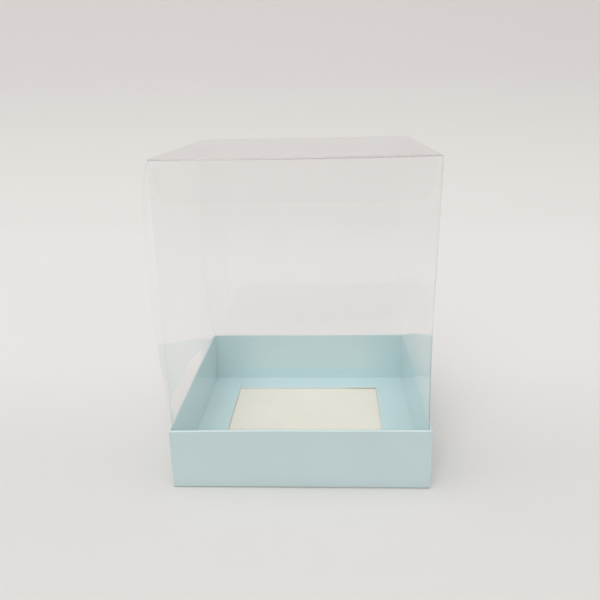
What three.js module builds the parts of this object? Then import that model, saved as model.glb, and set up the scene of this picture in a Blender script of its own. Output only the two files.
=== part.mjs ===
// Clear folding box for a small cake or a gift.
// A clear plastic cover, folded from one sheet, stands inside a low tray folded from pale blue card.
// Millimetres, +Z up, +X to the right, +Y to the back. The origin is the middle of the tray's underside.
// Each panel between two creases is a mesh of its own.
import * as THREE from "three";

// The tray's outer sizes, and the height of the whole box with the cover seated.
const trayWidth = 100;
const trayDepth = 100;
const trayHeight = 25.4;
const boxHeight = 126.5;

// The card. A side wall is two layers of it, and a front or back wall is three,
// because the corner tabs lie between the outer and the inner layer there.
const cardThickness = 0.35;
const layerGap = 0.05;
const cornerTabLength = 20;
const cornerTabDrop = 2;
const sideFlapLength = 14;
const endFlapLength = 12;

// The clear sheet, and how loosely the cover stands between the tray's walls.
const sheetThickness = 0.3;
const coverClearance = 0.15;

// The flaps that close the cover's top, and the flap that its back corner is glued with.
const lidSideInset = 0.4;
const lidFrontClearance = 0.15;
const frontEdgeDrop = 0.1;
const tuckFlapLength = 15;
const tuckSideInset = 1.5;
const tuckCornerRadius = 6;
const tuckLean = 10;
const dustFlapLength = 16;
const dustFrontInset = 1.8;
const dustFrontTaper = 1;
const dustBackInset = 1;
const dustBackCut = 13;
const glueFlapWidth = 12;
const glueFlapTaper = 3;
const glueFlapInset = 1.5;
const glueSeamGap = 0.4;

// How the sprung sheet stands out of square above the tray. The left wall springs outwards
// behind its front crease, and both back creases lean to the left.
const bowRimClearance = 1;
const springOut = 9.3;
const springRun = 25;
const springPeak = 0.62;
const springFullness = 0.35;
const backLeftLean = 5;
const backLeftLeanPeak = 0.32;
const backRightLean = 3;
const backRightLeanPeak = 0.45;
const leanFullness = 1.5;

// How finely the bowed walls and the round corners are divided.
const bowRows = 16;
const springColumns = 16;
const leanColumns = 4;
const cornerSteps = 6;

// Where the layers of card lie, counted inwards from an outer face or upwards from the ground.
const layerPitch = cardThickness + layerGap;
const layerStart = (layer) => layer * layerPitch;
const layerEnd = (layer) => layerStart(layer) + cardThickness;
const halfWidth = trayWidth / 2;
const halfDepth = trayDepth / 2;
const sideWallThickness = layerEnd(1);
const endWallThickness = layerEnd(2);
const foldTop = trayHeight - cardThickness;
const wallTop = foldTop - layerGap;

// Where the cover's walls and flaps lie. It stands on the tray's side flaps, the top layer of the floor.
const coverFoot = layerStart(3);
const coverHalfWidth = halfWidth - sideWallThickness - coverClearance;
const coverHalfDepth = halfDepth - endWallThickness - coverClearance;
const lidUnderside = boxHeight - sheetThickness;
const backWallTop = lidUnderside - layerGap;
const dustUnderside = backWallTop - sheetThickness;
const sideWallTop = dustUnderside - layerGap;
const sideWallHalfDepth = coverHalfDepth - sheetThickness - layerGap;
const lidFront = -coverHalfDepth + sheetThickness + lidFrontClearance;
const bowStart = trayHeight + bowRimClearance;

const blueCard = new THREE.MeshStandardMaterial({ color: 0xb9d6da, roughness: 0.75, metalness: 0 });
const creamBoard = new THREE.MeshStandardMaterial({ color: 0xe9e3d3, roughness: 0.9, metalness: 0 });
const clearSheet = new THREE.MeshStandardMaterial({
  color: 0xf4f6f7,
  roughness: 0.08,
  metalness: 0,
  transparent: true,
  opacity: 0.25,
});

// A flat rectangular panel between two opposite corners, each given as [x, y, z].
function panel(name, material, corner, opposite) {
  const from = new THREE.Vector3(...corner);
  const to = new THREE.Vector3(...opposite);
  const box = new THREE.Box3().expandByPoint(from).expandByPoint(to);
  const size = box.getSize(new THREE.Vector3());
  const mesh = new THREE.Mesh(new THREE.BoxGeometry(size.x, size.y, size.z), material);
  mesh.name = name;
  box.getCenter(mesh.position);
  return mesh;
}

// A flat panel of the clear sheet that is cut to an outline and lies in the X and Y directions.
function flatCutPanel(name, outline, underside) {
  const shape = { depth: sheetThickness, bevelEnabled: false };
  const mesh = new THREE.Mesh(new THREE.ExtrudeGeometry(outline, shape), clearSheet);
  mesh.name = name;
  mesh.position.z = underside;
  return mesh;
}

// A panel of the clear sheet that is cut to an outline in the X and Z directions and stands up.
// Its thickness runs forwards from the given Y.
function standingCutPanel(name, outline, backFace) {
  const shape = { depth: sheetThickness, bevelEnabled: false };
  const mesh = new THREE.Mesh(new THREE.ExtrudeGeometry(outline, shape), clearSheet);
  mesh.name = name;
  mesh.rotation.x = Math.PI / 2;
  mesh.position.y = backFace;
  return mesh;
}

// A bowed panel of even thickness. faceAt(across, height) gives a point of its outer face, with across
// from 0 to 1 so that across turned towards up by the right-hand rule faces outwards.
function bowedPanel(name, faceAt, heights, columns) {
  const step = 1e-3;
  const points = [];
  for (const depth of [0, sheetThickness]) {
    for (const height of heights) {
      for (let column = 0; column <= columns; column += 1) {
        const across = column / columns;
        const along = faceAt(across + step, height).sub(faceAt(across - step, height));
        const upward = faceAt(across, height + step).sub(faceAt(across, height - step));
        const inward = along.cross(upward).normalize().multiplyScalar(-depth);
        points.push(faceAt(across, height).add(inward));
      }
    }
  }
  const rowSize = columns + 1;
  const faceSize = rowSize * heights.length;
  const topRow = heights.length - 1;
  const at = (face, row, column) => face * faceSize + row * rowSize + column;
  const triangles = [];
  const quad = (a, b, c, d) => triangles.push(a, b, c, a, c, d);
  for (let row = 0; row < topRow; row += 1) {
    for (let column = 0; column < columns; column += 1) {
      const next = column + 1;
      quad(at(0, row, column), at(0, row, next), at(0, row + 1, next), at(0, row + 1, column));
      quad(at(1, row, column), at(1, row + 1, column), at(1, row + 1, next), at(1, row, next));
    }
    quad(at(0, row, 0), at(0, row + 1, 0), at(1, row + 1, 0), at(1, row, 0));
    quad(at(1, row, columns), at(1, row + 1, columns), at(0, row + 1, columns), at(0, row, columns));
  }
  for (let column = 0; column < columns; column += 1) {
    const next = column + 1;
    quad(at(1, 0, column), at(1, 0, next), at(0, 0, next), at(0, 0, column));
    quad(at(0, topRow, column), at(0, topRow, next), at(1, topRow, next), at(1, topRow, column));
  }
  const geometry = new THREE.BufferGeometry().setFromPoints(points);
  geometry.setIndex(triangles);
  geometry.computeVertexNormals();
  const mesh = new THREE.Mesh(geometry, clearSheet);
  mesh.name = name;
  return mesh;
}

// A smooth rise from 0 at one end of a height to 1 at the peak, and back to 0 at the other end.
function hump(height, peak, fullness) {
  const share = THREE.MathUtils.clamp((height - bowStart) / (sideWallTop - bowStart), 0, 1);
  const skewed = share ** (Math.log(0.5) / Math.log(peak));
  return Math.sin(Math.PI * skewed) ** fullness;
}

const leftLeanAt = (height) => backLeftLean * hump(height, backLeftLeanPeak, leanFullness);
const rightLeanAt = (height) => backRightLean * hump(height, backRightLeanPeak, leanFullness);

// The left wall's spring from its front crease backwards: a quick rise, then a slow return.
function springAt(depthFromFront, height) {
  const fullDepth = 2 * sideWallHalfDepth;
  const rise = 1 - (1 - depthFromFront / springRun) ** 2;
  const back = (depthFromFront - springRun) / (fullDepth - springRun);
  const profile = depthFromFront < springRun ? rise : Math.cos((Math.PI / 2) * back) ** 2;
  return springOut * hump(height, springPeak, springFullness) * profile;
}

// The heights of the bowed walls' rows: one straight step inside the tray, then closer rows
// near the rim and near the top, where the bow changes fastest.
function bowHeights() {
  const heights = [coverFoot];
  for (let row = 0; row <= bowRows; row += 1) {
    const share = (1 - Math.cos((Math.PI * row) / bowRows)) / 2;
    heights.push(THREE.MathUtils.lerp(bowStart, sideWallTop, share));
  }
  return heights;
}

// An outline between two upright edges, each a function of height, that has its own list of heights.
function uprightOutline(leftEdge, leftHeights, rightEdge, rightHeights) {
  const right = rightHeights.map((height) => new THREE.Vector2(rightEdge(height), height));
  const left = leftHeights.map((height) => new THREE.Vector2(leftEdge(height), height));
  return new THREE.Shape([...right, ...left.reverse()]);
}

// The tray's front and back walls, which are rolled over their corner tabs. side is -1 at the front.
function endWall(where, side) {
  const face = (inset) => side * (halfDepth - inset);
  const innerHalfWidth = halfWidth - layerStart(1);
  const flapStart = layerStart(3);
  const parts = [
    panel(
      `tray_${where}_outer_wall`,
      blueCard,
      [-halfWidth, face(0), 0],
      [halfWidth, face(layerEnd(0)), wallTop],
    ),
    panel(
      `tray_${where}_rim_fold`,
      blueCard,
      [-halfWidth, face(0), foldTop],
      [halfWidth, face(endWallThickness), trayHeight],
    ),
    panel(
      `tray_${where}_inner_wall`,
      blueCard,
      [-innerHalfWidth, face(layerStart(2)), layerStart(1)],
      [innerHalfWidth, face(layerEnd(2)), wallTop],
    ),
    panel(
      `tray_${where}_floor_flap`,
      blueCard,
      [-halfWidth + layerStart(2), face(flapStart), layerStart(1)],
      [halfWidth - layerStart(2), face(flapStart + endFlapLength), layerEnd(1)],
    ),
  ];
  for (const hand of [-1, 1]) {
    parts.push(
      panel(
        `tray_${where}_${hand < 0 ? "left" : "right"}_corner_tab`,
        blueCard,
        [hand * innerHalfWidth, face(layerStart(1)), layerStart(1)],
        [hand * (innerHalfWidth - cornerTabLength), face(layerEnd(1)), wallTop - cornerTabDrop],
      ),
    );
  }
  return parts;
}

// The tray's left and right walls, which are rolled over last, with their flaps on top.
function sideWall(where, side) {
  const face = (inset) => side * (halfWidth - inset);
  const outerHalfDepth = halfDepth - layerStart(1);
  const betweenEndWalls = halfDepth - layerStart(3);
  const flapStart = layerStart(2);
  return [
    panel(
      `tray_${where}_outer_wall`,
      blueCard,
      [face(0), -outerHalfDepth, 0],
      [face(layerEnd(0)), outerHalfDepth, wallTop],
    ),
    panel(
      `tray_${where}_rim_fold`,
      blueCard,
      [face(0), -betweenEndWalls, foldTop],
      [face(sideWallThickness), betweenEndWalls, trayHeight],
    ),
    panel(
      `tray_${where}_inner_wall`,
      blueCard,
      [face(layerStart(1)), -betweenEndWalls, layerStart(1)],
      [face(layerEnd(1)), betweenEndWalls, wallTop],
    ),
    panel(
      `tray_${where}_floor_flap`,
      blueCard,
      [face(flapStart), -betweenEndWalls, layerStart(2)],
      [face(flapStart + sideFlapLength), betweenEndWalls, layerEnd(2)],
    ),
  ];
}

function trayFloor() {
  const inset = layerStart(1);
  return panel(
    "tray_floor",
    creamBoard,
    [-halfWidth + inset, -halfDepth + inset, 0],
    [halfWidth - inset, halfDepth - inset, cardThickness],
  );
}

function frontCoverWall() {
  return panel(
    "cover_front_wall",
    clearSheet,
    [-coverHalfWidth, -coverHalfDepth, coverFoot],
    [coverHalfWidth, -coverHalfDepth + sheetThickness, boxHeight - frontEdgeDrop],
  );
}

function leftCoverWall() {
  const faceAt = (across, height) => {
    const fromFront = (1 - across) * 2 * sideWallHalfDepth;
    const out = springAt(fromFront, height) + leftLeanAt(height) * (1 - across);
    return new THREE.Vector3(-coverHalfWidth - out, -sideWallHalfDepth + fromFront, height);
  };
  return bowedPanel("cover_left_wall", faceAt, bowHeights(), springColumns);
}

function rightCoverWall() {
  const faceAt = (across, height) => {
    const y = THREE.MathUtils.lerp(-sideWallHalfDepth, sideWallHalfDepth, across);
    return new THREE.Vector3(coverHalfWidth - rightLeanAt(height) * across, y, height);
  };
  return bowedPanel("cover_right_wall", faceAt, bowHeights(), leanColumns);
}

function backCoverWall() {
  const leftEdge = (height) => -coverHalfWidth - leftLeanAt(height);
  const rightEdge = (height) => coverHalfWidth - rightLeanAt(height);
  const heights = [...bowHeights(), backWallTop];
  const outline = uprightOutline(leftEdge, heights, rightEdge, heights);
  return standingCutPanel("cover_back_wall", outline, coverHalfDepth);
}

// The flap that joins the left wall to the back wall. It is glued to the back wall's inner face.
function glueFlap() {
  const low = coverFoot + glueFlapInset;
  const high = sideWallTop - glueFlapInset;
  const leftEdge = (height) => -coverHalfWidth - leftLeanAt(height) + sheetThickness + glueSeamGap;
  const freeEdge = (height) => -coverHalfWidth - leftLeanAt(height) + glueFlapWidth;
  const heights = bowHeights().filter((height) => height > low + glueFlapTaper && height < high - glueFlapTaper);
  const outline = uprightOutline(
    leftEdge,
    [low, ...heights, high],
    freeEdge,
    [low + glueFlapTaper, ...heights, high - glueFlapTaper],
  );
  return standingCutPanel("cover_glue_flap", outline, sideWallHalfDepth);
}

function lidPanel() {
  return panel(
    "lid_panel",
    clearSheet,
    [-coverHalfWidth + lidSideInset, lidFront, lidUnderside],
    [coverHalfWidth - lidSideInset, coverHalfDepth, boxHeight],
  );
}

// The lid's tuck flap hangs inside the front wall and leans inwards,
// so that its tip passes the wall's top edge when the lid swings up.
function tuckFlap() {
  const half = coverHalfWidth - sheetThickness - tuckSideInset;
  const radius = tuckCornerRadius;
  const outline = new THREE.Shape();
  outline.moveTo(half, 0);
  outline.lineTo(-half, 0);
  outline.lineTo(-half, -tuckFlapLength + radius);
  outline.absarc(-half + radius, -tuckFlapLength + radius, radius, Math.PI, 1.5 * Math.PI);
  outline.absarc(half - radius, -tuckFlapLength + radius, radius, 1.5 * Math.PI, 2 * Math.PI);
  const shape = { depth: sheetThickness, bevelEnabled: false, curveSegments: cornerSteps };
  const geometry = new THREE.ExtrudeGeometry(outline, shape).translate(0, 0, -sheetThickness);
  const lean = THREE.MathUtils.degToRad(tuckLean);
  const mesh = new THREE.Mesh(geometry, clearSheet);
  mesh.name = "lid_tuck_flap";
  mesh.rotation.x = Math.PI / 2 + lean;
  mesh.position.set(0, lidFront, lidUnderside - layerGap - sheetThickness * Math.sin(lean));
  return mesh;
}

// A dust flap folds in from a side wall's top and lies under the lid. Its back corner is cut away,
// so that it can rise with the lid. side is -1 on the left.
function dustFlap(name, side) {
  const front = -coverHalfDepth + sheetThickness + dustFrontInset;
  const back = sideWallHalfDepth - dustBackInset;
  const outline = new THREE.Shape();
  outline.moveTo(side * coverHalfWidth, front);
  outline.lineTo(side * (coverHalfWidth - dustFlapLength), front + dustFrontTaper);
  outline.lineTo(side * (coverHalfWidth - dustFlapLength), back - dustBackCut);
  outline.lineTo(side * coverHalfWidth, back);
  return flatCutPanel(name, outline, dustUnderside);
}

const tray = new THREE.Group();
tray.add(trayFloor(), ...endWall("front", -1), ...endWall("back", 1));
tray.add(...sideWall("left", -1), ...sideWall("right", 1));

const cover = new THREE.Group();
cover.add(frontCoverWall(), leftCoverWall(), rightCoverWall(), backCoverWall(), glueFlap());
cover.add(lidPanel(), tuckFlap());
cover.add(dustFlap("dust_flap_left", -1), dustFlap("dust_flap_right", 1));

const box = new THREE.Group();
box.add(tray, cover);

export default box;
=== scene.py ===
# %% [markdown]
# # A clear folding box on a card tray
#
# This lesson builds a small box for a cake or a gift. It has two parts. A cover folded from one
# sheet of clear plastic stands inside a low tray folded from pale blue card, and a cream window
# shows between the tray's four floor flaps. Both are thin sheets, so nearly every piece here is
# made the way a box maker makes it: a strip is drawn, folded along its creases, and only then
# given its thickness.
#
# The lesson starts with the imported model. It gives the place of every panel, so no size is typed
# twice, and it gives the bodies that each piece has to move with.

import math

import bmesh
import bpy
from mathutils import Matrix, Vector, noise


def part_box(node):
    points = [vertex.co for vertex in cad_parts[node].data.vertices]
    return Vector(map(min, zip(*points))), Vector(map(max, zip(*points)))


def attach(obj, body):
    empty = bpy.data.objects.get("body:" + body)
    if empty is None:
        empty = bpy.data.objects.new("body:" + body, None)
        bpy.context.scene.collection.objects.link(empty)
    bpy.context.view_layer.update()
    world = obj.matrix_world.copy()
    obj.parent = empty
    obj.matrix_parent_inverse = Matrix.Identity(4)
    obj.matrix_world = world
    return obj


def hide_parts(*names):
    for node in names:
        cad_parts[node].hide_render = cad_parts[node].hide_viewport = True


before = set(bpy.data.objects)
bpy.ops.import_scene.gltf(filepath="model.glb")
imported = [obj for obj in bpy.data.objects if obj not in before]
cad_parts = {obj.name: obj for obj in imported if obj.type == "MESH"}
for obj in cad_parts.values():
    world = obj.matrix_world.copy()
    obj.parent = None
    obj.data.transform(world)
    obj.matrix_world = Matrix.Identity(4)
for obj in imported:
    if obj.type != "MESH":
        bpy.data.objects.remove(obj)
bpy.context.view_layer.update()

# %% [markdown]
# ## The camera
#
# The photo looks down on the box from a little above its lid. The camera's place, its target and
# its lens were worked out from the corners of the tray and of the cover, so the render can be laid
# over the photo. The image is square, and its long side is the camera's sensor width.

# %% Place the camera
def add_object(name, data):
    """A new object in the scene."""
    made = bpy.data.objects.new(name, data)
    bpy.context.scene.collection.objects.link(made)
    return made


camera_place = Vector((0.01201, -0.26027, 0.14593))
camera_target = Vector((-0.00122, 0.0, 0.06094))
camera_roll = math.radians(-1.262)
image_width = 600
focal_pixels = 629.1
sensor_width = 36.0

camera_data = bpy.data.cameras.new("camera")
camera_data.sensor_width = sensor_width
camera_data.lens = sensor_width * focal_pixels / image_width
camera_data.clip_start = 0.01
camera_data.clip_end = 20
camera = add_object("camera", camera_data)
aim = (camera_target - camera_place).to_track_quat("-Z", "Y").to_matrix().to_4x4()
camera.matrix_world = Matrix.Translation(camera_place) @ aim @ Matrix.Rotation(camera_roll, 4, "Z")
bpy.context.scene.camera = camera
print("lens:", round(camera_data.lens, 2), "mm")

# %% [markdown]
# ## Helpers for folded sheets
#
# Every sheet starts as a chain of points: the section of the strip, seen from its end. Pushing the
# chain sideways makes the strip, and bevelling its creases rounds the folds. Cuts across it come
# from a bisecting plane, so there are points to bend where the sheet has sprung or sagged. A sheet
# could be drawn as a finished mesh instead, but then its folds could not be changed by one radius.

# %% Helpers that draw, fold and cut a sheet
sharp_angle = math.radians(35)


def clamp(value):
    """The value, held between 0 and 1."""
    return max(0.0, min(1.0, value))


def chain(mesh, points):
    """A row of vertices joined by edges."""
    row = [mesh.verts.new(point) for point in points]
    for first, second in zip(row, row[1:]):
        mesh.edges.new((first, second))


def push(mesh, offset):
    """Pushes every edge of the mesh along offset, which turns a chain into a strip."""
    made = bmesh.ops.extrude_edge_only(mesh, edges=mesh.edges[:])["geom"]
    moved = [part for part in made if isinstance(part, bmesh.types.BMVert)]
    bmesh.ops.translate(mesh, verts=moved, vec=offset)


def face_out(mesh, outermost, direction):
    """Turns all faces over if the outermost one doesn't face in direction. outermost ranks faces."""
    mesh.normal_update()
    if max(mesh.faces, key=outermost).normal.dot(direction) < 0:
        bmesh.ops.reverse_faces(mesh, faces=mesh.faces[:])
        mesh.normal_update()


def round_creases(mesh, is_crease, radius, material=1):
    """Rounds the edges that is_crease picks, and gives the new narrow faces a material number."""
    creases = [edge for edge in mesh.edges if is_crease(edge)]
    made = bmesh.ops.bevel(
        mesh, geom=creases, offset=radius, segments=4, profile=0.5, affect="EDGES", material=-1
    )
    for face in made["faces"]:
        face.material_index = material
    return len(creases)


def cut_across(mesh, axis, places):
    """Cuts the whole mesh square to an axis at each place."""
    normal = Vector([float(number == axis) for number in range(3)])
    for place in places:
        whole = mesh.verts[:] + mesh.edges[:] + mesh.faces[:]
        bmesh.ops.bisect_plane(mesh, geom=whole, plane_co=normal * place, plane_no=normal, dist=1e-6)


def evenly(start, end, steps):
    """The places between start and end that divide it into equal steps."""
    return [start + (end - start) * step / steps for step in range(1, steps)]


def mesh_data(mesh, name, materials):
    """Turns the working mesh into mesh data with smooth faces and these materials."""
    data = bpy.data.meshes.new(name)
    mesh.to_mesh(data)
    mesh.free()
    for face in data.polygons:
        face.use_smooth = True
    for material in materials:
        data.materials.append(material)
    return data


def finish_piece(mesh, name, body, materials, replaced):
    """Makes an object of the mesh. It rides on a body and stands for the model's nodes."""
    piece = add_object(name, mesh_data(mesh, name, materials))
    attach(piece, body)
    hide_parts(*replaced)
    return piece


def thicken(piece, thickness, inner_offset, rim_offset):
    """Gives a sheet its thickness, inwards from its outer face.

    The two offsets lead from a face's material number to that of its inside and of its cut edge.
    """
    solid = piece.modifiers.new("thickness", "SOLIDIFY")
    solid.thickness = thickness
    solid.offset = -1
    solid.use_even_offset = True
    solid.use_quality_normals = True
    solid.material_offset = inner_offset
    solid.material_offset_rim = rim_offset
    solid_piece = piece.evaluated_get(bpy.context.evaluated_depsgraph_get())
    thin, piece.data = piece.data, bpy.data.meshes.new_from_object(solid_piece)
    piece.modifiers.clear()
    bpy.data.meshes.remove(thin)
    piece.data.name = piece.name
    piece.data.set_sharp_from_angle(angle=sharp_angle)


print("folds are sharp from", round(math.degrees(sharp_angle)), "degrees")

# %% [markdown]
# ## Helpers for materials
#
# A material here is a small tree of nodes. These helpers make the nodes that every tree needs: an
# empty group, a noise, a change of range and a sum. A picture on the surface could do the same
# work, but a pattern made of noise has no seam and holds at any distance.

# %% Helpers for node trees
def new_group(name, inputs, outputs):
    """An empty node group with named sockets, each given as (name, type) or (name, type, value)."""
    group = bpy.data.node_groups.new(name, "ShaderNodeTree")
    for label, kind, *value in inputs:
        made = group.interface.new_socket(label, in_out="INPUT", socket_type=kind)
        if value:
            made.default_value = value[0]
    for label, kind in outputs:
        group.interface.new_socket(label, in_out="OUTPUT", socket_type=kind)
    return group, group.nodes.new("NodeGroupInput"), group.nodes.new("NodeGroupOutput")


def noise_node(tree, coordinates, scale, detail=2.0):
    """A noise texture of so many grains a metre."""
    made = tree.nodes.new("ShaderNodeTexNoise")
    made.inputs["Scale"].default_value = scale
    made.inputs["Detail"].default_value = detail
    tree.links.new(coordinates, made.inputs["Vector"])
    return made.outputs["Fac"]


def spread(tree, value, low, high, from_low=0.3, from_high=0.7):
    """Spreads the middle of a noise over a new range."""
    made = tree.nodes.new("ShaderNodeMapRange")
    tree.links.new(value, made.inputs["Value"])
    ends = {"From Min": from_low, "From Max": from_high, "To Min": low, "To Max": high}
    for label, number in ends.items():
        made.inputs[label].default_value = number
    return made.outputs["Result"]


def calculate(tree, operation, *values):
    """A math node. Each value is a number or a socket."""
    made = tree.nodes.new("ShaderNodeMath")
    made.operation = operation
    for socket, value in zip(made.inputs, values):
        if isinstance(value, (int, float)):
            socket.default_value = value
        else:
            tree.links.new(value, socket)
    return made.outputs[0]


print("helpers:", [made.__name__ for made in (new_group, noise_node, spread, calculate)])

# %% [markdown]
# ## Card
#
# The tray is folding board: smooth and pale blue on the face, uncoated cream behind. Up close the
# blue face has a faint mottle and the tooth of its fibres, and the cream back is rougher and
# speckled. Both are the same effect with other numbers, so it is one node group, placed in
# each material with its own values.

# %% A node group for the fibres of card
clouds_per_metre, specks_per_metre, tooth_per_metre = 55, 1400, 3200
cloud_share, speck_share = 0.6, 0.4
roughness_change = 0.06
tooth_depth = 0.00003


def card_fibres():
    """Card: a cloudy mottle, fine specks, and a tooth that breaks up its shine."""
    group, given, result = new_group(
        "card_fibres",
        [
            ("Colour", "NodeSocketColor", (0.6, 0.7, 0.7, 1)),
            ("Mottle", "NodeSocketFloat", 0.03),
            ("Roughness", "NodeSocketFloat", 0.6),
            ("Tooth", "NodeSocketFloat", 0.2),
        ],
        [("Colour", "NodeSocketColor"), ("Roughness", "NodeSocketFloat"), ("Normal", "NodeSocketVector")],
    )
    place = group.nodes.new("ShaderNodeTexCoord").outputs["Object"]
    clouds = spread(group, noise_node(group, place, clouds_per_metre, 3), -cloud_share, cloud_share)
    specks = spread(group, noise_node(group, place, specks_per_metre, 3), -speck_share, speck_share)
    both = calculate(group, "ADD", clouds, specks)
    tone = calculate(group, "MULTIPLY_ADD", both, given.outputs["Mottle"], 1.0)
    shade = group.nodes.new("ShaderNodeVectorMath")
    shade.operation = "SCALE"
    group.links.new(given.outputs["Colour"], shade.inputs[0])
    group.links.new(tone, shade.inputs["Scale"])
    group.links.new(shade.outputs[0], result.inputs["Colour"])
    rough = calculate(group, "MULTIPLY_ADD", both, roughness_change, given.outputs["Roughness"])
    group.links.new(rough, result.inputs["Roughness"])
    bump = group.nodes.new("ShaderNodeBump")
    bump.inputs["Distance"].default_value = tooth_depth
    group.links.new(given.outputs["Tooth"], bump.inputs["Strength"])
    group.links.new(noise_node(group, place, tooth_per_metre, 4), bump.inputs["Height"])
    group.links.new(bump.outputs["Normal"], result.inputs["Normal"])
    return group


fibres = card_fibres()
print("group:", fibres.name, "with", len(fibres.nodes), "nodes")


# %% The finishes of the card
def card_material(name, colour, mottle, roughness, tooth):
    """A card finish: the fibre group feeding one Principled shader."""
    material = bpy.data.materials.new(name)
    material.use_nodes = True
    tree = material.node_tree
    shader = tree.nodes["Principled BSDF"]
    shader.inputs["Specular IOR Level"].default_value = 0.35
    card = tree.nodes.new("ShaderNodeGroup")
    card.node_tree = fibres
    card.inputs["Colour"].default_value = (*colour, 1)
    card.inputs["Mottle"].default_value = mottle
    card.inputs["Roughness"].default_value = roughness
    card.inputs["Tooth"].default_value = tooth
    tree.links.new(card.outputs["Colour"], shader.inputs["Base Color"])
    tree.links.new(card.outputs["Roughness"], shader.inputs["Roughness"])
    tree.links.new(card.outputs["Normal"], shader.inputs["Normal"])
    return material


blue_card = card_material("blue_card_face", (0.54, 0.65, 0.66), 0.025, 0.62, 0.25)
# The pale fold colour is partly the whitening of folded card and partly a painted highlight along the
# rounded folds of the rim, the foot and the flaps.
blue_fold_whitened_and_lit = card_material("blue_card_fold_whitened_and_lit", (0.62, 0.74, 0.745), 0.06, 0.7, 0.5)
# The inside of the walls and the flaps is the same blue face of the same board. This lighter, bluer copy
# of it is painted light.
blue_inside_lit_copy = card_material("blue_card_inside_lit_copy", (0.565, 0.742, 0.762), 0.025, 0.66, 0.25)
cream_board = card_material("cream_card_back", (0.845, 0.81, 0.71), 0.035, 0.85, 0.5)
card_edge = card_material("card_cut_edge", (0.74, 0.77, 0.74), 0.10, 0.9, 0.8)
card_finishes = (blue_card, blue_fold_whitened_and_lit, blue_inside_lit_copy, cream_board, card_edge)
print("card materials:", [material.name for material in card_finishes])

# %% [markdown]
# ## Clear sheet
#
# The cover is 0.3 mm PET. It hardly bends what is seen through it, so a full glass shader would
# only darken what stands inside. What shows the sheet is its gloss, strong where it is seen at a
# slant, and a faint haze of handling marks. So the material mixes two parts by angle: a film that
# is nearly all see-through, and a mirror. The mirror's share follows the usual rule for plastic
# with an index of 1.57: 5 percent head on, and all of it at a grazing view.
#
# Five finishes come from it. Along a crease the plastic whitens a little, and a cut edge looks grey.
# The front right crease, the front wall's top lip and the lid's front crease get a darker, duller
# finish whose dark colour is painted shade. These three finishes have more film and mirror less.
# Where two layers are pressed together there is hardly any air between them, so they mirror half as
# much.

# %% A node group for the marks on clear sheet
patches_per_metre, waves_per_metre = 26, 16
scratches_per_metre, scratch_share = 6, 0.35
scratch_stretch, scratch_turn = (14, 14, 420), (0.5, 0.35, 0.2)
scratch_low, scratch_high = 0.63, 0.72
sheet_roughness, patch_roughness = 0.06, 0.02
wave_depth = 0.001


def sheet_marks():
    """Clear sheet: haze in soft patches, hairline scratches, and slow waves that bend its gloss."""
    group, given, result = new_group(
        "sheet_marks",
        [
            ("Haze", "NodeSocketFloat", 0.03),
            ("Patches", "NodeSocketFloat", 0.5),
            ("Waves", "NodeSocketFloat", 0.5),
        ],
        [("Haze", "NodeSocketFloat"), ("Roughness", "NodeSocketFloat"), ("Normal", "NodeSocketVector")],
    )
    place = group.nodes.new("ShaderNodeTexCoord").outputs["Object"]
    patches = spread(group, noise_node(group, place, patches_per_metre, 3), -1, 1)
    stretch = group.nodes.new("ShaderNodeMapping")
    stretch.inputs["Scale"].default_value = scratch_stretch
    stretch.inputs["Rotation"].default_value = scratch_turn
    group.links.new(place, stretch.inputs["Vector"])
    grain = noise_node(group, stretch.outputs["Vector"], scratches_per_metre, 4)
    lines = spread(group, grain, 0, scratch_share, scratch_low, scratch_high)
    share = calculate(group, "MULTIPLY_ADD", patches, given.outputs["Patches"], 1.0)
    haze = calculate(group, "MULTIPLY", calculate(group, "ADD", lines, share), given.outputs["Haze"])
    rough = calculate(group, "MULTIPLY_ADD", patches, patch_roughness, sheet_roughness)
    group.links.new(haze, result.inputs["Haze"])
    group.links.new(rough, result.inputs["Roughness"])
    bump = group.nodes.new("ShaderNodeBump")
    bump.inputs["Distance"].default_value = wave_depth
    group.links.new(given.outputs["Waves"], bump.inputs["Strength"])
    group.links.new(noise_node(group, place, waves_per_metre, 1), bump.inputs["Height"])
    group.links.new(bump.outputs["Normal"], result.inputs["Normal"])
    return group


marks = sheet_marks()
print("group:", marks.name, "with", len(marks.nodes), "nodes")

# %% The finishes of clear sheet
mirror_head_on = 0.049
mirror_power = 5


def sheet_material(name, colour, haze, patches, waves, gloss):
    """A clear sheet finish. gloss is 1 for a clean surface and less where it mirrors less."""
    material = bpy.data.materials.new(name)
    material.use_nodes = True
    tree = material.node_tree
    film = tree.nodes["Principled BSDF"]
    film.inputs["Base Color"].default_value = (*colour, 1)
    film.inputs["Specular IOR Level"].default_value = 0.0
    sheet = tree.nodes.new("ShaderNodeGroup")
    sheet.node_tree = marks
    sheet.inputs["Haze"].default_value = haze
    sheet.inputs["Patches"].default_value = patches
    sheet.inputs["Waves"].default_value = waves
    mirror = tree.nodes.new("ShaderNodeBsdfGlossy")
    mirror.inputs["Color"].default_value = (1, 1, 1, 1)
    tree.links.new(sheet.outputs["Haze"], film.inputs["Alpha"])
    tree.links.new(sheet.outputs["Roughness"], film.inputs["Roughness"])
    tree.links.new(sheet.outputs["Normal"], film.inputs["Normal"])
    tree.links.new(sheet.outputs["Roughness"], mirror.inputs["Roughness"])
    tree.links.new(sheet.outputs["Normal"], mirror.inputs["Normal"])
    angle = tree.nodes.new("ShaderNodeLayerWeight")
    angle.inputs["Blend"].default_value = 0.5
    slant = calculate(tree, "POWER", angle.outputs["Facing"], mirror_power)
    mirrored = calculate(tree, "MULTIPLY_ADD", slant, 1 - mirror_head_on, mirror_head_on)
    share = calculate(tree, "MULTIPLY", mirrored, gloss)
    mix = tree.nodes.new("ShaderNodeMixShader")
    tree.links.new(share, mix.inputs["Fac"])
    tree.links.new(film.outputs["BSDF"], mix.inputs[1])
    tree.links.new(mirror.outputs["BSDF"], mix.inputs[2])
    tree.links.new(mix.outputs["Shader"], tree.nodes["Material Output"].inputs["Surface"])
    return material


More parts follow.
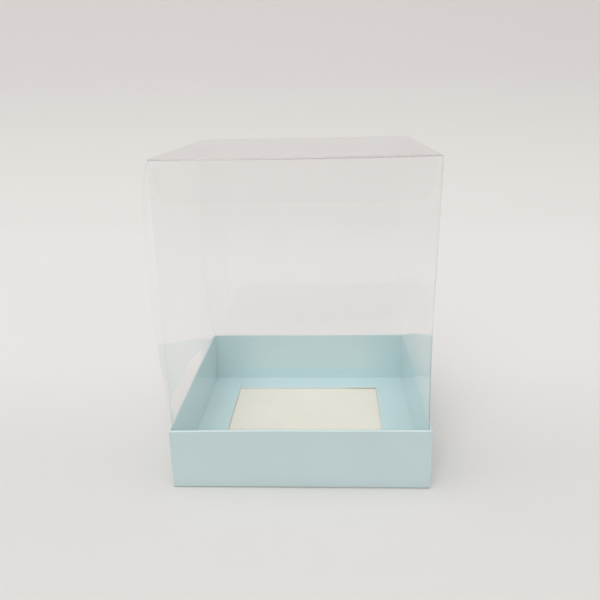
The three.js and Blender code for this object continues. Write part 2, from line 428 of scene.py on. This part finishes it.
clear_sheet = sheet_material("clear_sheet_film", (0.80, 0.79, 0.79), 0.006, 0.5, 0.5, 1.0)
pale_crease = sheet_material("clear_sheet_crease", (0.72, 0.71, 0.71), 0.03, 0.6, 1.0, 0.6)
# A dark, dull crease colour: painted shade along the front right crease, the front wall's top lip and the
# lid's front crease.
shaded_crease = sheet_material("clear_sheet_shaded_crease", (0.50, 0.48, 0.49), 0.20, 0.6, 1.0, 0.25)
touching_sheet = sheet_material("clear_sheet_touching", (0.80, 0.79, 0.79), 0.006, 0.5, 0.5, 0.5)
sheet_edge = sheet_material("clear_sheet_cut_edge", (0.60, 0.58, 0.59), 0.08, 0.3, 1.0, 0.6)
sheet_faces = [clear_sheet, pale_crease, shaded_crease, touching_sheet]
crease_number, shaded_crease_number, touching_number = 1, 2, 3
sheet_layers = sheet_faces + [sheet_edge] * len(sheet_faces)
print("sheet materials:", sorted({material.name for material in sheet_layers}))

# %% [markdown]
# ## The tray's rolled walls
#
# Each wall of the tray is one strip of card that comes up from the floor, rolls over the rim, goes
# down the inside and ends as a flap on the floor. That is why the rim is a soft double fold and
# not a raw edge. The four flaps leave a window in which the card's cream back shows. A strip is
# drawn at the front, where its section is easy to read, and turned to its own side. The flat
# panels of the model give its layers, so the walls stay where they are in the model.

# %% Read the layers of a wall, turned to the front
MM = 0.001
quarter_turns = {"front": 0, "right": 1, "back": 2, "left": 3}
wall_parts = ("outer_wall", "rim_fold", "inner_wall", "floor_flap")


def turned_box(node, turns):
    """A node's box after turning it clockwise, seen from above, by so many quarters."""
    turn = Matrix.Rotation(-math.pi / 2 * turns, 3, "Z")
    ends = [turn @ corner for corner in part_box(node)]
    low = Vector([min(end[number] for end in ends) for number in range(3)])
    high = Vector([max(end[number] for end in ends) for number in range(3)])
    return low, high


card_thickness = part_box("tray_floor")[1].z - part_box("tray_floor")[0].z
fold_radius = 0.34 * MM
print("card:", round(1000 * card_thickness, 3), "mm thick")

# %% [markdown]
# A folded wall is never quite straight. The rim dips where the card was pressed, and at the front
# it sags towards its left corner. The front wall's foot stands a little off the table, most of all
# on the right, and the free edge of a flap lifts where nothing holds it down. These shapes stay
# under a millimetre, but they break the long straight lines that would make the tray look
# machined.

# %% Bend the walls a little
half_tray = 50 * MM
rim_dip = {"front": 0.22 * MM, "right": 0.15 * MM, "back": 0.12 * MM, "left": 0.25 * MM}
rim_waves_per_metre, rim_wave_gain, row_spacing = 28, 1.6, 7.3
front_corner_sag = 0.5 * MM
foot_lift_left, foot_lift_gain = 0.3 * MM, 0.45 * MM
foot_lift_run, foot_lift_height = 85 * MM, 4 * MM
flap_lift_width = 9 * MM
flap_lifts = {
    "front": (0.05 * MM, 0),
    "right": (0.45 * MM, 30 * MM),
    "back": (0.45 * MM, -30 * MM),
    "left": (0.15 * MM, 0),
}


def rim_height_change(where, along):
    """How far the rim dips at a place along the wall."""
    row = quarter_turns[where] * row_spacing
    wave = noise.noise(Vector((along * rim_waves_per_metre, row, 0.5)))
    dip = rim_dip[where] * (0.5 + 0.5 * max(-1, min(1, rim_wave_gain * wave)))
    if where == "front":
        dip += front_corner_sag * max(0, -along / half_tray) ** 1.5
    return -dip


def foot_lift(along, height):
    """How far the front wall's lower edge stands off the table, most of all near its right end."""
    share = clamp((along + half_tray) / foot_lift_run)
    return (foot_lift_left + foot_lift_gain * share) * max(0, 1 - height / foot_lift_height)


def flap_lift(where, along, inwards):
    """How far a flap's free edge stands up. along is from the wall's middle, as it is drawn."""
    lift, centre = flap_lifts[where]
    near = math.exp(-(((along - centre) / flap_lift_width) ** 2))
    return lift * near * inwards**2


print("rim dips in mm:", {where: round(1000 * dip, 2) for where, dip in rim_dip.items()})


# %% Fold the four walls
wall_cuts, wall_rows, flap_rows = 24, 5, 5
lip = 0.8 * MM
seam = 0.1 * MM


def spot(y, z):
    """A place in a section, rounded so that places can be compared."""
    return round(y, 6), round(z, 6)


def rolled_wall(where):
    """One rolled wall of the tray, from its lip under the floor to the free edge of its flap."""
    turns = quarter_turns[where]
    nodes = [f"tray_{where}_{part}" for part in wall_parts]
    outer, rim, inner, flap = (turned_box(node, turns) for node in nodes)
    outer_face, inner_face = outer[0].y, inner[1].y
    rim_top, flap_top, flap_end = rim[1].z, flap[1].z, flap[1].y
    fold_level = inner[1].z
    stations = [
        ((outer_face + lip, 0), outer[1].x - lip),
        ((outer_face, 0), outer[1].x),
        ((outer_face, fold_level), outer[1].x),
        ((outer_face, rim_top), rim[1].x),
        ((inner_face, rim_top), rim[1].x),
        ((inner_face, fold_level), rim[1].x),
        ((inner_face, fold_level - seam), inner[1].x),
        ((inner_face, flap_top), inner[1].x),
        ((flap_end, flap_top), flap[1].x),
    ]
    faces = [blue_card, blue_fold_whitened_and_lit, blue_inside_lit_copy]
    mesh = bmesh.new()
    chain(mesh, [(-1, y, z) for (y, z), half in stations])
    push(mesh, Vector((2, 0, 0)))
    widths = {spot(*place): half for place, half in stations}
    for vert in mesh.verts:
        vert.co.x *= widths[spot(vert.co.y, vert.co.z)]
    face_out(mesh, lambda face: -face.calc_center_median().y, Vector((0, -1, 0)))
    folds = {spot(*stations[number][0]) for number in (1, 3, 4, 7)}

    def is_fold(edge):
        ends = {spot(vert.co.y, vert.co.z) for vert in edge.verts}
        return len(ends) == 1 and ends <= folds

    # The rounded folds take the pale fold colour: partly whitened card, partly a painted highlight.
    round_creases(mesh, is_fold, fold_radius)
    cut_across(mesh, 0, evenly(-outer[1].x, outer[1].x, wall_cuts))
    cut_across(mesh, 2, evenly(0, fold_level, wall_rows))
    cut_across(mesh, 1, evenly(inner_face, flap_end, flap_rows))
    # The inner wall and its flap take the lighter, bluer copy of the blue face, which is painted light.
    for face in mesh.faces:
        if face.material_index == 0 and face.calc_center_median().y > inner_face - seam:
            face.material_index = faces.index(blue_inside_lit_copy)
    for vert in mesh.verts:
        x, y, z = vert.co
        raised = max(0, (z - flap_top) / (rim_top - flap_top))
        vert.co.z += rim_height_change(where, x) * raised**3
        if where == "front" and y < outer_face + 2 * lip:
            vert.co.z += foot_lift(x, z)
        inwards = max(0, (y - inner_face) / (flap_end - inner_face))
        if inwards > 0:
            vert.co.z += flap_lift(where, x, inwards)
    turn = Matrix.Rotation(math.pi / 2 * turns, 3, "Z")
    bmesh.ops.rotate(mesh, verts=mesh.verts[:], cent=(0, 0, 0), matrix=turn)
    layers = faces + [cream_board] * len(faces) + [card_edge] * len(faces)
    piece = finish_piece(mesh, f"tray_{where}_wall", "tray", layers, nodes)
    thicken(piece, card_thickness, len(faces), 2 * len(faces))
    return piece


walls = {where: rolled_wall(where) for where in quarter_turns}
for where, piece in walls.items():
    print(where, "wall:", len(piece.data.polygons), "faces")

# %% [markdown]
# ## The tray's floor
#
# The floor is the middle of the same sheet of card, cream side up. It is not quite flat: card
# that has been folded on four sides domes a little. The corner tabs are hidden between the layers
# of the front and back walls, and their shape in the model is right, so they only get their card.

# %% Make the floor and finish the corner tabs
floor_low, floor_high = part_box("tray_floor")
floor_dome = 0.12 * MM
floor_cuts = 16
layer_gap = 0.05 * MM
floor_half = floor_high.x - (lip - (card_thickness + layer_gap))

floor_mesh = bmesh.new()
bmesh.ops.create_grid(floor_mesh, x_segments=floor_cuts, y_segments=floor_cuts, size=floor_half)
for vert in floor_mesh.verts:
    share_x, share_y = vert.co.x / floor_half, vert.co.y / floor_half
    vert.co.z = floor_low.z + floor_dome * (1 - share_x**2) * (1 - share_y**2)
bmesh.ops.reverse_faces(floor_mesh, faces=floor_mesh.faces[:])
tray_floor = finish_piece(
    floor_mesh, "tray_floor_panel", "tray", [blue_card, cream_board, card_edge], ["tray_floor"]
)
thicken(tray_floor, card_thickness - floor_dome, 1, 2)

tabs = [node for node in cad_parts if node.endswith("corner_tab")]
for node in tabs:
    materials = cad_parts[node].data.materials
    materials.clear()
    materials.append(blue_card)
print("floor:", len(tray_floor.data.polygons), "faces; corner tabs:", len(tabs))

# %% [markdown]
# ## The cover's sleeve
#
# The cover's four walls and its glue flap are one strip that goes once round. It starts at the
# free edge of the glue flap, turns at the back left corner, runs down the left side, across the
# front, up the right side and along the back, and ends on top of the glue flap, where it is stuck.
# Thin sheet that has lain flat keeps some spring: above the tray the left wall bows outwards, and
# the creases lean. The front right crease is pinched in low down and flares out near the lid, and its
# dark colour is painted shade. The bow is put in as moves of the cut strip, after its creases are
# rounded. Its humps are close to those of the model's walls, but follow the photo more finely: low
# down the bow fades out sooner.

# %% Measure the bow of the sheet from the model
front_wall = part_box("cover_front_wall")
left_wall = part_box("cover_left_wall")
back_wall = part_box("cover_back_wall")
glue_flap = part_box("cover_glue_flap")
sheet_thickness = front_wall[1].y - front_wall[0].y
rim_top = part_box("tray_front_rim_fold")[1].z
foot = front_wall[0].z
half_width = front_wall[1].x
front_face, back_face = front_wall[0].y, back_wall[1].y
flap_face = glue_flap[1].y

bow_start = rim_top + 1 * MM
bow_end = left_wall[1].z
spring_out, spring_run, spring_peak, spring_fullness = 9.2 * MM, 25 * MM, 0.57, 0.22
left_lean, left_lean_peak, left_lean_fullness = 3.5 * MM, 0.45, 0.6
right_lean, right_lean_peak, right_lean_fullness = 3 * MM, 0.45, 1.5
right_pinch, right_pinch_peak, right_flare = 0.5 * MM, 0.31, 0.42 * MM
full_run = left_wall[1].y - left_wall[0].y
low_run = 85 * MM
fade_start, fade_height = 40 * MM, 50 * MM
left_wall_depth = 2 * MM
print("walls rise from", round(1000 * foot, 2), "to", round(1000 * front_wall[1].z, 2), "mm")


# %% Bow the sheet
def hump(height, peak, fullness):
    """A smooth rise from the rim to 1 at the peak, and back to 0 at the top."""
    share = clamp((height - bow_start) / (bow_end - bow_start))
    skewed = share ** (math.log(0.5) / math.log(peak))
    return max(0.0, math.sin(math.pi * skewed)) ** fullness


def spring_at(depth, height):
    """How far the left wall springs out, so far behind its front crease. Low down it fades sooner."""
    rise = clamp((height - fade_start) / fade_height)
    run_out = low_run + (full_run - low_run) * rise * rise * (3 - 2 * rise)
    if depth < spring_run:
        profile = 1 - (1 - max(0.0, depth) / spring_run) ** 2
    else:
        profile = math.cos(math.pi / 2 * min(1.0, (depth - spring_run) / (run_out - spring_run))) ** 2
    return spring_out * hump(height, spring_peak, spring_fullness) * profile


def bow_sheet(place):
    """Where a point of the square sleeve goes once the sheet has sprung."""
    x, y, z = place
    depth = y - left_wall[0].y
    behind = clamp(depth / full_run)
    across = clamp((x + half_width) / (2 * half_width))
    left = left_lean * hump(z, left_lean_peak, left_lean_fullness) * behind
    right = right_lean * hump(z, right_lean_peak, right_lean_fullness) * behind
    x -= left + (right - left) * across
    on_left_wall = clamp(1 - across * 2 * half_width / left_wall_depth)
    if behind < 1:
        x -= spring_at(depth, z) * on_left_wall
    share = clamp((z - bow_start) / (bow_end - bow_start))
    pinch = right_pinch * hump(z, right_pinch_peak, right_lean_fullness)
    x += (right_flare * share**3 - pinch) * across * (1 - behind) ** 2
    return Vector((x, y, z))


middle_height = (bow_start + bow_end) / 2
print("bow half way up in mm:", round(1000 * spring_at(spring_run, middle_height), 2))

# %% Fold the sleeve
crease_radius = 0.45 * MM
low_rows, bow_rows = 12, 40
side_columns, front_columns = 24, 16
front_lip = 0.5 * MM
hair = 0.01 * MM

sleeve_mesh = bmesh.new()
chain(
    sleeve_mesh,
    [
        (glue_flap[1].x, flap_face, foot),
        (-half_width, flap_face, foot),
        (-half_width, front_face, foot),
        (half_width, front_face, foot),
        (half_width, back_face, foot),
        (-half_width, back_face, foot),
    ],
)
push(sleeve_mesh, Vector((0, 0, front_wall[1].z - foot)))
face_out(sleeve_mesh, lambda face: -face.calc_center_median().y, Vector((0, -1, 0)))


def is_corner(edge):
    """True for an upright edge where two walls meet."""
    first, second = (vert.co for vert in edge.verts)
    return abs(first.z - second.z) > MM and len(edge.link_faces) == 2


creases = round_creases(sleeve_mesh, is_corner, crease_radius)
cut_across(sleeve_mesh, 2, [*evenly(foot, bow_start, low_rows), bow_start])
cut_across(sleeve_mesh, 2, evenly(bow_start, bow_end, bow_rows))
cut_across(sleeve_mesh, 1, evenly(front_face, back_face, side_columns))
cut_across(sleeve_mesh, 0, [glue_flap[1].x, *evenly(-half_width, half_width, front_columns)])
cut_across(sleeve_mesh, 2, [front_wall[1].z - front_lip])
for face in sleeve_mesh.faces:
    middle = face.calc_center_median()
    # The front right crease and the front wall's top lip take the dark crease colour, which is painted
    # shade.
    if face.material_index == crease_number and middle.x > 0 and middle.y < 0:
        face.material_index = shaded_crease_number
    if middle.y < front_face + crease_radius and middle.z > front_wall[1].z - front_lip:
        face.material_index = shaded_crease_number
    if face.material_index == 0 and middle.y > flap_face - hair and middle.x < glue_flap[1].x:
        face.material_index = touching_number
print("creases:", creases, "faces:", len(sleeve_mesh.faces))

# %% [markdown]
# The four walls end at different heights, because the dust flaps fold in under the lid and the
# front wall stands as high as the lid. The free top of the front wall sags a little between its
# corners. The glue flap is shorter than the wall it is stuck to, and its ends are cut at a slant
# so that they never stick out of the seam.

# %% Trim the tops and the glue flap, then let the sheet spring
flap_taper = 3 * MM
flap_inset = 1.5 * MM
front_sag = 0.3 * MM


def wall_top_at(x, y):
    """How high the wall at this place reaches."""
    if y > flap_face + seam:
        return back_wall[1].z
    if y < front_face + crease_radius / 2:
        return front_wall[1].z - front_sag * math.cos(math.pi / 2 * x / half_width) ** 0.5
    return left_wall[1].z


def trim_glue_flap(level, upwards):
    """Cuts one end of the glue flap at a slant."""
    parts = [
        face
        for face in sleeve_mesh.faces
        if abs(face.calc_center_median().y - flap_face) < hair
        and face.calc_center_median().x > -half_width + crease_radius
        and face.normal.y > 0.9
    ]
    verts = dict.fromkeys(vert for face in parts for vert in face.verts)
    edges = dict.fromkeys(edge for face in parts for edge in face.edges)
    whole = [*verts, *edges, *parts]
    width = glue_flap[1].x + half_width
    normal = Vector((flap_taper, 0, width if upwards else -width)).normalized()
    start = Vector((-half_width, flap_face, level))
    bmesh.ops.bisect_plane(sleeve_mesh, geom=whole, plane_co=start, plane_no=normal, clear_outer=True)


sleeve_top = front_wall[1].z
for vert in sleeve_mesh.verts:
    top = wall_top_at(vert.co.x, vert.co.y)
    if vert.co.z > sleeve_top - hair:
        vert.co.z = top
    elif vert.co.z > sleeve_top - front_lip - hair:
        vert.co.z = top - (sleeve_top - vert.co.z)
trim_glue_flap(left_wall[1].z - flap_inset, True)
trim_glue_flap(foot + flap_inset, False)
for vert in sleeve_mesh.verts:
    vert.co = bow_sheet(vert.co)


def finish_sheet(mesh, name, body, replaced):
    """Finishes a piece of clear sheet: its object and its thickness."""
    piece = finish_piece(mesh, name, body, sheet_layers, replaced)
    thicken(piece, sheet_thickness, 0, len(sheet_faces))
    return piece


sleeve_nodes = [f"cover_{side}_wall" for side in ("front", "left", "right", "back")]
sleeve = finish_sheet(sleeve_mesh, "cover_sleeve", "cover", [*sleeve_nodes, "cover_glue_flap"])
print("sleeve:", len(sleeve.data.polygons), "faces")

# %% [markdown]
# ## The lid and its flaps
#
# The lid hinges on the crease at the back wall's top. Its tuck flap slips down behind the front
# wall, and two dust flaps fold in from the side walls below it. Each turns on its own crease, so
# each is a piece of its own. The lid and the tuck flap end in half of their crease, a narrow strip
# that is whitened, and the lid's front crease is darker and duller, its dark colour painted shade.
# The flaps are cut with round corners, because a sharp corner of plastic catches when it is tucked
# in.

# %% Cut the lid panel
lid_low, lid_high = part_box("lid_panel")
lid_sag = 0.15 * MM
lid_cuts = 12
lid_fold_radius = 0.95 * sheet_thickness
crease_width = 0.6 * MM

lid_mesh = bmesh.new()
chain(
    lid_mesh,
    [
        (lid_low.x, lid_high.y, lid_low.z),
        (lid_low.x, lid_high.y, lid_high.z),
        (lid_low.x, lid_low.y, lid_high.z),
        (lid_low.x, lid_low.y, lid_low.z),
    ],
)
push(lid_mesh, Vector((lid_high.x - lid_low.x, 0, 0)))
face_out(lid_mesh, lambda face: face.calc_center_median().z, Vector((0, 0, 1)))


def is_lid_fold(edge):
    """True for the lid's front and back top edges."""
    on_top = all(abs(vert.co.z - lid_high.z) < hair for vert in edge.verts)
    return on_top and len(edge.link_faces) == 2


round_creases(lid_mesh, is_lid_fold, lid_fold_radius)
cut_across(lid_mesh, 1, [lid_low.y + crease_width, lid_high.y - crease_width])
cut_across(lid_mesh, 1, evenly(lid_low.y, lid_high.y, lid_cuts))
cut_across(lid_mesh, 0, evenly(lid_low.x, lid_high.x, lid_cuts))
# The lid's back crease is whitened. Its front crease takes the dark crease colour, which is painted
# shade.
for face in lid_mesh.faces:
    middle = face.calc_center_median().y
    if middle > lid_high.y - crease_width:
        face.material_index = crease_number
    elif middle < lid_low.y + crease_width:
        face.material_index = shaded_crease_number
for vert in lid_mesh.verts:
    across = (vert.co.x - lid_low.x) / (lid_high.x - lid_low.x)
    along = (vert.co.y - lid_low.y) / (lid_high.y - lid_low.y)
    vert.co.z -= lid_sag * math.sin(math.pi * across) * math.sin(math.pi * along)
lid = finish_sheet(lid_mesh, "lid_top_panel", "lid", ["lid_panel"])
print("lid:", len(lid.data.polygons), "faces")


# %% Cut the tuck flap
flap_cuts = 10


def flat_flap(outline, round_corners, radius):
    """A flat sheet cut to an outline, with some of its corners rounded."""
    mesh = bmesh.new()
    corners = [mesh.verts.new((x, y, 0)) for x, y in outline]
    mesh.faces.new(corners)
    rounded = [corners[number] for number in round_corners]
    bmesh.ops.bevel(
        mesh, geom=rounded, offset=radius, segments=8, profile=0.5, affect="VERTICES", material=-1
    )
    for axis in (0, 1):
        places = [vert.co[axis] for vert in mesh.verts]
        cut_across(mesh, axis, evenly(min(places), max(places), flap_cuts))
    return mesh


tuck_low, tuck_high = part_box("lid_tuck_flap")
tuck_lean = math.radians(10)
tuck_drop = (tuck_high.z - tuck_low.z) / math.cos(tuck_lean)
tuck_curl = 0.9 * MM
tuck_corner = 6 * MM
tuck_outline = [(tuck_low.x, 0), (tuck_low.x, tuck_drop), (tuck_high.x, tuck_drop), (tuck_high.x, 0)]
tuck_mesh = flat_flap(tuck_outline, [1, 2], tuck_corner)
cut_across(tuck_mesh, 1, [crease_width])
for face in tuck_mesh.faces:
    on_crease = face.calc_center_median().y < crease_width
    face.material_index = crease_number if on_crease else touching_number
for vert in tuck_mesh.verts:
    vert.co.z = -tuck_curl * (vert.co.y / tuck_drop) ** 2
upright = Matrix.Rotation(-math.pi / 2 + tuck_lean, 3, "X")
bmesh.ops.rotate(tuck_mesh, verts=tuck_mesh.verts[:], cent=(0, 0, 0), matrix=upright)
bmesh.ops.translate(tuck_mesh, verts=tuck_mesh.verts[:], vec=(0, lid_low.y, tuck_high.z))
face_out(tuck_mesh, lambda face: -face.calc_center_median().y, Vector((0, -1, 0)))
tuck = finish_sheet(tuck_mesh, "tuck_flap_sheet", "tuck_flap", ["lid_tuck_flap"])
print("tuck flap:", len(tuck.data.polygons), "faces")

# %% Cut the dust flaps
dust_back_cut, dust_front_taper = 13 * MM, 1 * MM
dust_corner = 3 * MM
dust_sag = 0.3 * MM


def dust_flap(hand, side):
    """One dust flap, hinged on a side wall's top crease. side is -1 on the left."""
    low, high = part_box(f"dust_flap_{hand}")
    reach = high.x - low.x
    hinge = side * half_width
    free = hinge - side * reach
    front_end, back_end = low.y + dust_front_taper, high.y - dust_back_cut
    outline = [(hinge, low.y), (free, front_end), (free, back_end), (hinge, high.y)]
    mesh = flat_flap(outline, [1, 2], dust_corner)
    for vert in mesh.verts:
        share = abs(vert.co.x - hinge) / reach
        vert.co.z = high.z - dust_sag * share**2
    face_out(mesh, lambda face: face.calc_center_median().z, Vector((0, 0, 1)))
    node = f"dust_flap_{hand}"
    return finish_sheet(mesh, f"{node}_sheet", f"{hand}_dust_flap", [node])


dust_flaps = [dust_flap("left", -1), dust_flap("right", 1)]
print("dust flaps:", [piece.name for piece in dust_flaps])

# %% [markdown]
# ## The stage
#
# The box stands on a pale floor that curves up into a backdrop, so there is no line behind it. The
# light is soft: a pale room all round, a large softbox in front and a weaker one on the left. A
# clear cover shows what it mirrors, so the paper is part of the light. Its tone follows one run,
# from far in front of the box, over the floor and up the backdrop, and that run paints light and
# shade onto the paper. Close to the box it is pale, with a brighter band behind it and a darker top
# to the backdrop, and far in front it falls to a mid grey, out of the picture: painted shade for a
# darker room. The upright front wall mirrors that part, and so it looks a little greyer than the air
# beside the box.

# %% Make the floor and the backdrop
stage_side, stage_front, stage_back, stage_top = 7, -6, 1.3, 2.6
stage_bend = 0.8

stage_mesh = bmesh.new()
stage_section = [(stage_front, 0), (stage_back, 0), (stage_back, stage_top)]
chain(stage_mesh, [(-stage_side, y, z) for y, z in stage_section])
push(stage_mesh, Vector((2 * stage_side, 0, 0)))
face_out(stage_mesh, lambda face: -face.calc_center_median().z, Vector((0, 0, 1)))
bend = [edge for edge in stage_mesh.edges if len(edge.link_faces) == 2]
bmesh.ops.bevel(
    stage_mesh, geom=bend, offset=stage_bend, segments=16, profile=0.5, affect="EDGES", material=-1
)
paper = bpy.data.materials.new("stage_paper")
stage = add_object("stage", mesh_data(stage_mesh, "stage", [paper]))
print("stage:", len(stage.data.polygons), "faces")

# %% Give the paper its tones
# These tones paint light and shade on the paper: brighter just behind the box, darker up the backdrop,
# and a mid grey far in front as painted shade for a darker room.
paper_light_and_shade = [
    (-1.20, (0.45, 0.40, 0.39)),
    (-0.65, (0.43, 0.39, 0.38)),
    (-0.45, (0.42, 0.39, 0.38)),
    (-0.34, (0.50, 0.48, 0.46)),
    (-0.22, (0.74, 0.72, 0.70)),
    (-0.17, (0.75, 0.73, 0.71)),
    (-0.12, (0.713, 0.699, 0.679)),
    (-0.03, (0.713, 0.699, 0.679)),
    (0.07, (0.788, 0.774, 0.76)),
    (0.40, (0.833, 0.814, 0.798)),
    (0.65, (0.818, 0.799, 0.781)),
    (0.90, (0.777, 0.76, 0.739)),
    (1.20, (0.731, 0.701, 0.686)),
    (2.60, (0.70, 0.68, 0.66)),
]


def fill_ramp(ramp, tones):
    """Sets a colour ramp from a list of (position, colour), in order."""
    while len(ramp.elements) < len(tones):
        ramp.elements.new(1.0)
    for element, (position, tone) in zip(ramp.elements, tones):
        element.position = position
        element.color = (*tone, 1)


paper.use_nodes = True
tree = paper.node_tree
paper_shader = tree.nodes["Principled BSDF"]
start, end = paper_light_and_shade[0][0], paper_light_and_shade[-1][0]
place = tree.nodes.new("ShaderNodeSeparateXYZ")
tree.links.new(tree.nodes.new("ShaderNodeTexCoord").outputs["Object"], place.inputs[0])
run = calculate(tree, "ADD", place.outputs["Y"], place.outputs["Z"])
tones = tree.nodes.new("ShaderNodeValToRGB")
fill_ramp(tones.color_ramp, [((along - start) / (end - start), tone) for along, tone in paper_light_and_shade])
tree.links.new(spread(tree, run, 0, 1, start, end), tones.inputs["Fac"])
tree.links.new(tones.outputs["Color"], paper_shader.inputs["Base Color"])
paper_shader.inputs["Roughness"].default_value = 0.9
paper_shader.inputs["Specular IOR Level"].default_value = 0.2
print("paper tones:", len(paper_light_and_shade))

# %% [markdown]
# The room's light is a little stronger from behind, and a little weaker from the right. A view
# through the box crosses many faces of clear sheet, so a ray may go on for longer than usual.

# %% Light it
lamp_target = Vector((0, 0, 0.05))


def softbox(name, place, size, power):
    """A square area lamp that points at the box."""
    data = bpy.data.lights.new(name, "AREA")
    data.shape = "SQUARE"
    data.size = size
    data.energy = power
    lamp = add_object(name, data)
    lamp.location = place
    lamp.rotation_euler = (lamp_target - Vector(place)).to_track_quat("-Z", "Y").to_euler()


softbox("softbox_front", (-0.3, -2.0, 2.2), size=1.8, power=33)
softbox("softbox_left", (-2.6, -0.6, 2.2), size=2.5, power=7)

room_tones = [(0.0, (0.42, 0.42, 0.415)), (0.35, (0.72, 0.72, 0.715)), (1.0, (1, 1, 1))]
room_strength, weaker_right, stronger_behind = 0.98, -0.06, 0.18
world = bpy.data.worlds.new("room")
world.use_nodes = True
tree = world.node_tree
direction = tree.nodes.new("ShaderNodeTexCoord").outputs["Generated"]
split = tree.nodes.new("ShaderNodeSeparateXYZ")
tree.links.new(direction, split.inputs[0])
ramp = tree.nodes.new("ShaderNodeValToRGB")
fill_ramp(ramp.color_ramp, room_tones)
tree.links.new(split.outputs["Z"], ramp.inputs["Fac"])
tree.links.new(ramp.outputs["Color"], tree.nodes["Background"].inputs["Color"])
sideways = calculate(tree, "MULTIPLY_ADD", split.outputs["X"], weaker_right, room_strength)
strength = calculate(tree, "MULTIPLY_ADD", split.outputs["Y"], stronger_behind, sideways)
tree.links.new(strength, tree.nodes["Background"].inputs["Strength"])

scene = bpy.context.scene
scene.world = world
scene.view_settings.view_transform = "Standard"
scene.cycles.transparent_max_bounces = 32
scene.cycles.glossy_bounces = 16
scene.cycles.max_bounces = 24
